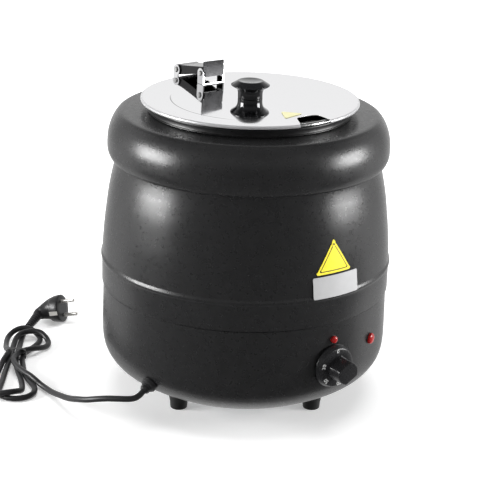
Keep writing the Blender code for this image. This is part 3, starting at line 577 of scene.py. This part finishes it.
# tie: a flat band round the waist of the hank, slightly wavy
TIE_STEPS = 64
tie_bm = bmesh.new()
ring_in, ring_out = [], []
for i in range(TIE_STEPS):
    a = 2 * math.pi * i / TIE_STEPS
    y, z = TIE_REACH[0] * powered(math.cos(a), 0.5), TIE_REACH[1] * powered(math.sin(a), 0.55)
    ring_in.append((TIE_MIDDLE[0] + y, TIE_MIDDLE[1] + z))
    ring_out.append((TIE_MIDDLE[0] + y * 1.07, TIE_MIDDLE[1] + z * 1.04))
strip = []
for ring in (ring_in, ring_out):
    for shift in (-TIE_HALF_WIDTH, TIE_HALF_WIDTH):
        edge = []
        for i, (y, z) in enumerate(ring):
            along = TIE_AT + shift + 0.5 * math.sin(i * 0.4)
            edge.append(tie_bm.verts.new(Vector(hank_point(along, y, z)) * MM))
        strip.append(edge)
for one, two in ((0, 1), (1, 3), (3, 2), (2, 0)):
    band(tie_bm, strip[one], strip[two])
tie = done(keep("cord_band", tie_bm, PLUG_PVC), "kettle", "cord_black", "cord_tie")

nodes = frame["nodes"]

# --- shells ---------------------------------------------------------------------------------------
WALL = 0.001

CORNER = ((0.1687, 0.112), (0.1690, 0.089), (0.1690, 0.073), (0.1685, 0.0655), (0.1674, 0.059),
          (0.1655, 0.053), (0.1628, 0.048), (0.1593, 0.043), (0.1546, 0.038), (0.1478, 0.0327),
          (0.1400, 0.028), (0.1287, 0.0215), (0.1210, 0.0181), (0.1120, 0.017), (0.105, 0.017))
outer = [Vector(p) for p in ((0.1679, 0.142), (0.1676, 0.1348), (0.1676, 0.1334), (0.1683, 0.1326))]
outer += fair(CORNER, 6) + [Vector((0.096, 0.017))]
done(turned("base_pan_skin", sheet(outer, WALL), POWDER), "kettle", "powder_black", "base_pan")

SIDE = ((0.1546, 0.298), (0.1550, 0.284), (0.1569, 0.272), (0.1593, 0.261), (0.1623, 0.245),
        (0.1648, 0.226), (0.1671, 0.206), (0.1687, 0.186), (0.1696, 0.173))
BEAD = ((0.1698, 0.1712), (0.1703, 0.1697), (0.1709, 0.1684), (0.1711, 0.167), (0.1709, 0.1656),
        (0.1703, 0.1643), (0.1700, 0.1626), (0.1699, 0.160))
outer = fair(SIDE + BEAD)
outer += [Vector(p) for p in ((0.1699, 0.1352), (0.1697, 0.1346), (0.1693, 0.1345))]
done(turned("barrel_skin", sheet(outer, WALL), POWDER), "kettle", "powder_black", "barrel_shell")

outer = [Vector((0.1130, 0.340)), Vector((0.1440, 0.3397))]
outer += fair(((0.1470, 0.3396), (0.1492, 0.3391), (0.1512, 0.3380), (0.1530, 0.3364),
               (0.1569, 0.331), (0.1606, 0.323), (0.1632, 0.3125), (0.1639, 0.299),
               (0.1629, 0.2925), (0.1603, 0.2873), (0.1571, 0.2848)))
done(turned("shoulder_skin", sheet(outer, WALL), POWDER), "kettle", "powder_black", "shoulder_ring")

section = [(0.1127, 0.3403), (0.1176, 0.3403), (0.1178, 0.3406), (0.1177, 0.3410), (0.1165, 0.3415),
           (0.1163, 0.3420), (0.1167, 0.3460), (0.1170, 0.3472), (0.1168, 0.3480), (0.1160, 0.3482),
           (0.1127, 0.3482)]
done(turned("neck_band", section, NECK_PAINT), "kettle", "neck_black", "neck_ring")

# --- pot ------------------------------------------------------------------------------------------
POT_RADIUS, POT_WALL, POT_CORNER, POT_BOTTOM = 0.108, 0.0008, 0.015, 0.078
corner_middle = (POT_RADIUS - POT_CORNER, POT_BOTTOM + POT_CORNER)
outside = [(0, POT_BOTTOM)] + arc(corner_middle, POT_CORNER, -90, 0, 10)
outside += fair(((POT_RADIUS, 0.2), (POT_RADIUS, 0.340), (0.1083, 0.3440), (0.1095, 0.3470),
                 (0.1118, 0.3490), (0.1150, 0.3499)))
bead = arc((0.1175, 0.3512), 0.0025, -90, 150, 16)
inside = fair(((0.1150, 0.3524), (0.1138, 0.3512), (0.1118, 0.3502), (0.1092, 0.3484),
               (0.1077, 0.3450), (POT_RADIUS - POT_WALL, 0.340), (POT_RADIUS - POT_WALL, 0.2)))
inside += arc(corner_middle, POT_CORNER - POT_WALL, 0, -90, 10) + [(0, POT_BOTTOM + POT_WALL)]
done(turned("pot_shell", outside + bead + inside, SATIN), "pot", "satin_steel", "insert_pot")

# --- lid ------------------------------------------------------------------------------------------
TOP, UNDER = 0.355, 0.354
LID_RADIUS = 0.1242
NOTCH_LEFT = (-0.0232, -0.1222)     # where the ladle notch starts on the rim
NOTCH_RIGHT, NOTCH_DEPTH, NOTCH_CORNER = 0.0186, -0.098, 0.006


def rim_angles(steps):
    """Angles in radians round the rim, from the notch's right side to its left."""
    start = math.atan2(-math.sqrt(LID_RADIUS ** 2 - NOTCH_RIGHT ** 2), NOTCH_RIGHT)
    end = math.atan2(NOTCH_LEFT[1], NOTCH_LEFT[0]) + 2 * math.pi
    return [start + (end - start) * i / steps for i in range(steps + 1)]


def lid_outline():
    """The lid's outline, a circle with the ladle notch, as points anticlockwise."""
    points = [(LID_RADIUS * math.cos(a), LID_RADIUS * math.sin(a)) for a in rim_angles(180)]
    points += [(-0.0189, -0.1165), (-0.0116, NOTCH_DEPTH - 0.0042)]
    points += [tuple(p) for p in arc((-0.0052, NOTCH_DEPTH - 0.0064), 0.0064, 170, 90, 6)]
    points += [tuple(p) for p in arc((NOTCH_RIGHT - NOTCH_CORNER, NOTCH_DEPTH - NOTCH_CORNER),
                                     NOTCH_CORNER, 90, 0, 8)]
    return points


lid = extruded("lid_sheet", lid_outline(), UNDER, TOP, LID_STEEL, 0.0002)

HEM_DROP, HEM_INNER = 0.0018, 0.0009    # radii of the rim's roll, outside and inside
hem_middle = (LID_RADIUS, TOP - HEM_DROP)
hem_section = [(0.1241, TOP)] + [tuple(p) for p in arc(hem_middle, HEM_DROP, 90, 0, 8)]
hem_section += [(0.1260, 0.3519), (0.1258, 0.3516), (0.1252, 0.3516), (0.1250, 0.3519),
                (0.1250, 0.3531)]
hem_section += [tuple(p) for p in arc(hem_middle, HEM_INNER, 0, 90, 5)] + [(0.1241, UNDER)]
hem_bm = bmesh.new()
rows = []
for a in rim_angles(200):
    rows.append([hem_bm.verts.new((r * math.cos(a), r * math.sin(a), z)) for r, z in hem_section])
count = len(hem_section)
for one, two in zip(rows, rows[1:]):
    for k in range(count):
        j = (k + 1) % count
        hem_bm.faces.new((one[k], two[k], two[j], one[j]))
hem_bm.faces.new(rows[0])
hem_bm.faces.new(rows[-1][::-1])
hem = keep("lid_hem", hem_bm, HEM_STEEL, None, 50)
done(lid, "lid", "polished_steel", "lid_disc")
done(hem, "lid", "polished_steel")

KNOB_FOOT = TOP + 0.0003
KNOB_SIDE = ((0.0143, 0.0005), (0.0143, 0.0048), (0.0147, 0.0072), (0.0156, 0.0094),
             (0.0179, 0.0115), (0.0209, 0.0131), (0.0221, 0.0140), (0.0223, 0.0145),
             (0.0219, 0.0152), (0.0185, 0.0174), (0.0156, 0.0191), (0.0146, 0.0196),
             (0.0132, 0.0197), (0.0110, 0.0194), (0.0070, 0.0189), (0.003, 0.0187))
knob = [(0, KNOB_FOOT + 0.012), (0.0028, KNOB_FOOT + 0.012), (0.0028, KNOB_FOOT),
        (0.0141, KNOB_FOOT), (0.0143, KNOB_FOOT + 0.0003)]
knob += fair([(radius, KNOB_FOOT + rise) for radius, rise in KNOB_SIDE]) + [(0, KNOB_FOOT + 0.0187)]
done(turned("lid_knob_body", knob, GLOSS, 96), "lid", "gloss_black_plastic", "lid_knob")

# --- feet -----------------------------------------------------------------------------------------
FOOT_CIRCLE, FOOT_TOP = 0.1105, 0.0167
section = [(0.0030, FOOT_TOP), (0.0030, 0.0075), (0.0060, 0.0075), (0.0060, 0.0004), (0.0064, 0),
           (0.0090, 0), (0.0096, 0.0003), (0.0099, 0.0009), (0.0101, 0.003), (0.0105, 0.008),
           (0.0113, 0.0125), (0.0121, FOOT_TOP - 0.0016), (0.0122, FOOT_TOP - 0.0005),
           (0.0119, FOOT_TOP)]
for name, angle in zip(("front", "right", "rear", "left"), (12, 102, 192, 282)):
    place = Matrix.Translation(round_the_kettle(angle, FOOT_CIRCLE, 0))
    done(turned(f"foot_pad_{name}", section, RUBBER, 48, place), "kettle", "rubber", f"foot_{name}")

# --- dial -----------------------------------------------------------------------------------------
DIAL = facing(0, 0.083, 0.1703)
section = [(0.0033, 0.0165), (0.0033, 0), (0.0250, 0), (0.0252, 0.0002), (0.0252, 0.0012),
           (0.0249, 0.0018), (0.0231, 0.0068), (0.0226, 0.0075), (0.0217, 0.0080), (0.0145, 0.0080),
           (0.0033, 0.0080)]
done(turned("dial_skirt", section, DIAL_PLASTIC, 96, DIAL), "dial", "dial_black_plastic",
     "control_dial")

# grip: a cylinder with two flats, in layers as (depth, scale)
GRIP_RADIUS, GRIP_FLAT, GRIP_ANGLE = 0.0139, 0.0107, 28
GRIP_SIDES = 96
grip_bm = bmesh.new()
layers = []
for depth, scale in ((0.0078, 1.04), (0.0092, 1.0), (0.0200, 0.975), (0.0262, 0.962),
                     (0.0274, 0.945), (0.0279, 0.915), (0.0280, 0.86)):
    ring = []
    for k in range(GRIP_SIDES):
        a = 2 * math.pi * k / GRIP_SIDES
        flat = GRIP_FLAT / max(abs(math.sin(a)), 1e-6)
        r = min(GRIP_RADIUS, flat) * scale
        ring.append(grip_bm.verts.new((r * math.cos(a), r * math.sin(a), depth)))
    layers.append(ring)
for one, two in zip(layers, layers[1:]):
    band(grip_bm, one, two)
grip_bm.faces.new(layers[0][::-1])
grip_bm.faces.new(layers[-1])
grip_turn = Matrix.Rotation(math.radians(GRIP_ANGLE), 4, "Z")
grip = keep("dial_grip", grip_bm, DIAL_PLASTIC, DIAL @ grip_turn, 30)
done(grip, "dial", "dial_black_plastic")

DIGIT_SIZE, DIGIT_THICKNESS = 0.0064, 0.00008
DIGIT_CIRCLE, DIGIT_DEPTH = 0.0197, 0.0081


def numeral(text, angle):
    """Printed digits on the skirt's cone, angle anticlockwise from its top."""
    curve = bpy.data.curves.new(f"digits_{text}", "FONT")
    curve.body = text
    curve.size = DIGIT_SIZE
    curve.align_x = "CENTER"
    curve.align_y = "CENTER"
    curve.extrude = DIGIT_THICKNESS
    curve.materials.append(PRINT)
    obj = bpy.data.objects.new(f"digits_{text}", curve)
    bpy.context.scene.collection.objects.link(obj)
    turned_up = Matrix.Rotation(math.radians(angle), 4, "Z")
    cone = turned_up @ Matrix.Translation((0, DIGIT_CIRCLE, DIGIT_DEPTH))
    obj.matrix_world = Matrix.Translation(AXIS) @ DIAL @ cone
    done(obj, "dial", "dial_black_plastic")


for text, angle in (("0", 0), ("30", 75), ("50", 130), ("70", 190), ("90", 255)):
    numeral(text, angle)

# --- lamps ----------------------------------------------------------------------------------------
LAMP_SEAT = 0.1689
for name, angle, height, radius in (("heat_lamp", 0, 0.1145, 0.0043),
                                    ("power_lamp", 23.2, 0.0954, 0.0064)):
    place = facing(angle, height, LAMP_SEAT)
    dome = [Vector((0, 0.0005)), Vector((radius, 0.0005)), Vector((radius, 0.0016))]
    for t in range(0, 90, 9):
        a = math.radians(t)
        dome.append(Vector((radius * math.cos(a), 0.0020 + 0.0028 * math.sin(a))))
    dome.append(Vector((0, 0.0048)))
    done(turned(f"{name}_dome", dome, LENS, 48, place), "kettle", "lens_red", f"{name}_lens")

# --- labels ---------------------------------------------------------------------------------------
def barrel_radius(height):
    """The barrel's radius at a height above its bead."""
    for (r1, z1), (r0, z0) in zip(SIDE, SIDE[1:]):
        if z0 <= height <= z1:
            return r0 + (r1 - r0) * (height - z0) / (z1 - z0)
    return SIDE[-1][0]


def patch(name, rows, mat, thick=0.0004):
    """A film on the barrel: rows of (height, radius, left, right), sideways along the barrel."""
    columns = 24
    bm = bmesh.new()
    layers = []
    for lift in (0.0, thick):
        layer = []
        for height, radius, left, right in rows:
            row = []
            for i in range(columns + 1):
                angle = math.degrees((left + (right - left) * i / columns) / radius)
                row.append(bm.verts.new(round_the_kettle(angle, radius + lift, height)))
            layer.append(row)
        layers.append(layer)
    low, high = layers
    last = len(rows) - 1
    for r in range(last):
        for c in range(columns):
            for layer in layers:
                bm.faces.new((layer[r][c], layer[r][c + 1], layer[r + 1][c + 1], layer[r + 1][c]))
        for c in (0, columns):
            bm.faces.new((low[r][c], low[r + 1][c], high[r + 1][c], high[r][c]))
    for c in range(columns):
        for r in (0, last):
            bm.faces.new((low[r][c], low[r][c + 1], high[r][c + 1], high[r][c]))
    return keep(name, bm, mat)


# nameplate: its bottom edge clears the bead, its top edge stands a little off the side
PLATE_BASE, PLATE_HEIGHT, PLATE_HALF, PLATE_CORNER = 0.1677, 0.0245, 0.0313, 0.0015
PLATE_LOW_RADIUS = 0.1718
plate_lean = barrel_radius(0.1922) - 0.1715
rows = []
for t in (0, 0.008, 0.025, 0.06, 0.2, 0.4, 0.6, 0.8, 0.94, 0.975, 0.992, 1):
    gap = max(0.0, PLATE_CORNER - PLATE_HEIGHT * min(t, 1 - t))
    half = PLATE_HALF - (PLATE_CORNER - math.sqrt(PLATE_CORNER ** 2 - gap ** 2))
    rows.append((PLATE_BASE + PLATE_HEIGHT * t, PLATE_LOW_RADIUS + plate_lean * t, -half, half))
done(patch("badge_plate", rows, SILVER), "kettle", "label_silver", "nameplate")


STICKER_SHIFT = -0.0033     # the triangle's middle along the barrel
STICKER_RISE = 0.778        # its height for a side of 1
CORNER_WIDTH = 0.8          # width of a round corner for a height of 1


def triangle_rows(side, base, corner, lift):
    """Rows up a triangle with round corners, on the barrel."""
    height = side * STICKER_RISE
    tip = corner * CORNER_WIDTH
    found = []
    for i in range(33):
        t = i / 32
        z = base + height * t
        half = side / 2 * (1 - t)
        over, under = z - base, height - (z - base)
        if over < corner:
            round_off = math.sqrt(max(corner ** 2 - (corner - over) ** 2, 0)) * CORNER_WIDTH
            half = side / 2 - tip + round_off - over * 0.35
        if under < corner * 1.6:
            half = min(half + 0.0006, math.sqrt(max(tip ** 2 - max(tip - under, 0) ** 2, 1e-9)))
        found.append((z, barrel_radius(z) + lift, STICKER_SHIFT - half, STICKER_SHIFT + half))
    return found


film = triangle_rows(0.0485, 0.1946, 0.003, 0.0003)
line = triangle_rows(0.0400, 0.1972, 0.002, 0.00062)
middle = triangle_rows(0.0366, 0.1982, 0.0018, 0.00070)
done(patch("sticker_film", film, YELLOW, 0.0003), "kettle", "label_yellow", "body_sticker")
done(patch("sticker_line", line, YELLOW_DARK, 0.00005), "kettle", "label_yellow")
done(patch("sticker_middle", middle, YELLOW, 0.00005), "kettle", "label_yellow")

# sticker on the lid: a triangle with round corners
LID_CORNER = 0.003
vertices = [Vector(v) for v in ((0.0075, -0.0883), (-0.0088, -0.0695), (-0.0220, -0.0946))]
outline = []
for i, v in enumerate(vertices):
    a, b = vertices[i - 1], vertices[(i + 1) % 3]
    one, two = (a - v).normalized(), (b - v).normalized()
    for t in (0, 0.25, 0.5, 0.75, 1):
        start, end = v + one * LID_CORNER, v + two * LID_CORNER
        mid = start.lerp(end, 0.5).lerp(v, 0.55)
        outline.append(tuple((1 - t) ** 2 * start + 2 * t * (1 - t) * mid + t * t * end))
done(extruded("lid_sticker_film", outline, TOP + 0.0002, TOP + 0.0005, PALE), "lid",
     "label_pale_yellow", "lid_sticker")

# --- CAD pieces that stay -------------------------------------------------------------------------
KEPT = {
    MIRROR: ("lid_bracket", "hinge_rim_clip"),
    DARK_STEEL: ("hinge_arm",),
    TURNED_STEEL: ("arm_pin", "hinge_pin", "thermostat_shaft"),
    SATIN: ("water_well", "heating_element", "sensor_bulb", "thermostat_capillary"),
    ALUMINIUM: ("element_clamp_plate",),
    ZINC: ("bottom_plate", "heat_shield", "knob_screw", "gland_locknut", "foot_front_screw",
           "foot_right_screw", "foot_rear_screw", "foot_left_screw"),
    CERAMIC: ("heat_lamp_holder", "power_lamp_holder", "thermostat_body", "thermal_cutout",
              "terminal_block"),
    FIBRE: ("insulation_blanket",),
    NICKEL: ("plug_pin_upper", "plug_pin_lower", "plug_earth_strip_near", "plug_earth_strip_far",
             "earth_stud"),
}
for mat, names in KEPT.items():
    for name in names:
        obj = nodes[name]
        obj.data.materials.clear()
        obj.data.materials.append(mat)
for name in ("lid_bracket", "hinge_rim_clip", "hinge_arm"):
    soften(nodes[name], 0.00025, 40)

# --- floor and light ------------------------------------------------------------------------------
FLOOR_FADE = (0.3, 1.3)     # the floor's own glow rises between these distances
FLOOR_GLOW = (0.31, 1.0)    # from and to these strengths
floor_bm = bmesh.new()
bmesh.ops.create_grid(floor_bm, x_segments=1, y_segments=1, size=6)
FLOOR = surface("floor_white", (0.9, 0.9, 0.9), 0.8, vary=0.0, rough_vary=0.0, specular=0.1)
floor_tree = FLOOR.node_tree
floor_shader = floor_tree.nodes["Principled BSDF"]
floor_shader.inputs["Emission Color"].default_value = (1, 1, 1, 1)
reach = floor_tree.nodes.new("ShaderNodeVectorMath")
reach.operation = "LENGTH"
floor_place = floor_tree.nodes.new("ShaderNodeTexCoord")
floor_tree.links.new(floor_place.outputs["Object"], reach.inputs[0])
glow = remapped(floor_tree, reach.outputs["Value"], *FLOOR_FADE, *FLOOR_GLOW)
floor_tree.links.new(glow, floor_shader.inputs["Emission Strength"])
floor = keep("floor", floor_bm, FLOOR)
floor.visible_glossy = False

# What the steel mirrors: a bright backdrop, dim ground, and a soft glow high behind the camera.
world = bpy.data.worlds.new("studio")
bpy.context.scene.world = world
world.use_nodes = True
tree = world.node_tree
coords = tree.nodes.new("ShaderNodeTexCoord")
dot = tree.nodes.new("ShaderNodeVectorMath")
dot.operation = "DOT_PRODUCT"
dot.inputs[1].default_value = AWAY
ahead = tree.nodes.new("ShaderNodeMath")    # 0 behind the camera, 1 straight ahead of it
ahead.operation = "MULTIPLY_ADD"
ahead.inputs[1].default_value = 0.5
ahead.inputs[2].default_value = 0.5
ramp = tree.nodes.new("ShaderNodeValToRGB")
BACKDROP = ((0.0, 0.05), (0.50, 0.05), (0.58, 0.32), (0.635, 0.8), (0.74, 0.78), (0.85, 0.5),
            (0.92, 0.62), (0.955, 1.0))
while len(ramp.color_ramp.elements) < len(BACKDROP):
    ramp.color_ramp.elements.new(0.5)
for stop, (position, level) in zip(ramp.color_ramp.elements, BACKDROP):
    stop.position = position
    stop.color = (level, level, level, 1)
tree.links.new(coords.outputs["Generated"], dot.inputs[0])
tree.links.new(dot.outputs["Value"], ahead.inputs[0])
tree.links.new(ahead.outputs["Value"], ramp.inputs["Fac"])
split = tree.nodes.new("ShaderNodeSeparateXYZ")
tree.links.new(coords.outputs["Generated"], split.inputs["Vector"])
FRONT, RISE = ahead.outputs["Value"], split.outputs["Z"]


def combined(one, two, operation="MULTIPLY"):
    """Two outputs multiplied, or added."""
    made = tree.nodes.new("ShaderNodeMath")
    made.operation = operation
    tree.links.new(one, made.inputs[0])
    tree.links.new(two, made.inputs[1])
    return made.outputs["Value"]


backdrop = combined(ramp.outputs["Color"], remapped(tree, RISE, 0.56, 0.74, 1, 0.12))
below = combined(remapped(tree, FRONT, 0.30, 0.50, 0.02, 0.13),
                 remapped(tree, RISE, -0.25, -0.04, 1, 0))
behind = combined(remapped(tree, FRONT, 0.45, 0.62, 1, 0),
                  remapped(tree, RISE, 0.12, 0.42, 0, 0.30))
behind = combined(remapped(tree, RISE, 0.42, 0.60, 1, 0.6), behind)
level = combined(combined(backdrop, below, "ADD"), behind, "ADD")
tree.links.new(level, tree.nodes["Background"].inputs["Color"])


def softbox(name, bearing, elevation, distance, wide, high, power):
    """A soft light aimed at the kettle, with its power in watts.

    bearing is in degrees clockwise from the view's direction as seen from above.
    """
    data = bpy.data.lights.new(name, "AREA")
    data.shape = "RECTANGLE"
    data.size, data.size_y = wide, high
    data.energy = power
    obj = bpy.data.objects.new(name, data)
    bpy.context.scene.collection.objects.link(obj)
    b, e = math.radians(bearing), math.radians(elevation)
    way = (AWAY * (math.cos(b) * math.cos(e)) + RIGHT * (math.sin(b) * math.cos(e))
           + Vector((0, 0, math.sin(e))))
    obj.matrix_world = looking(AXIS + Vector((0, 0, 0.2)) + way * distance, way)
    return obj


softbox("left_box", bearing=-102, elevation=9.5, distance=1.6, wide=0.80, high=0.52, power=29)
softbox("right_box", bearing=95, elevation=9.5, distance=1.6, wide=0.75, high=0.52, power=22)
top_box = softbox("top_box", bearing=10, elevation=78, distance=2.2, wide=2.2, high=2.2, power=48)
top_box.visible_glossy = False

bpy.context.scene.view_settings.view_transform = "Standard"
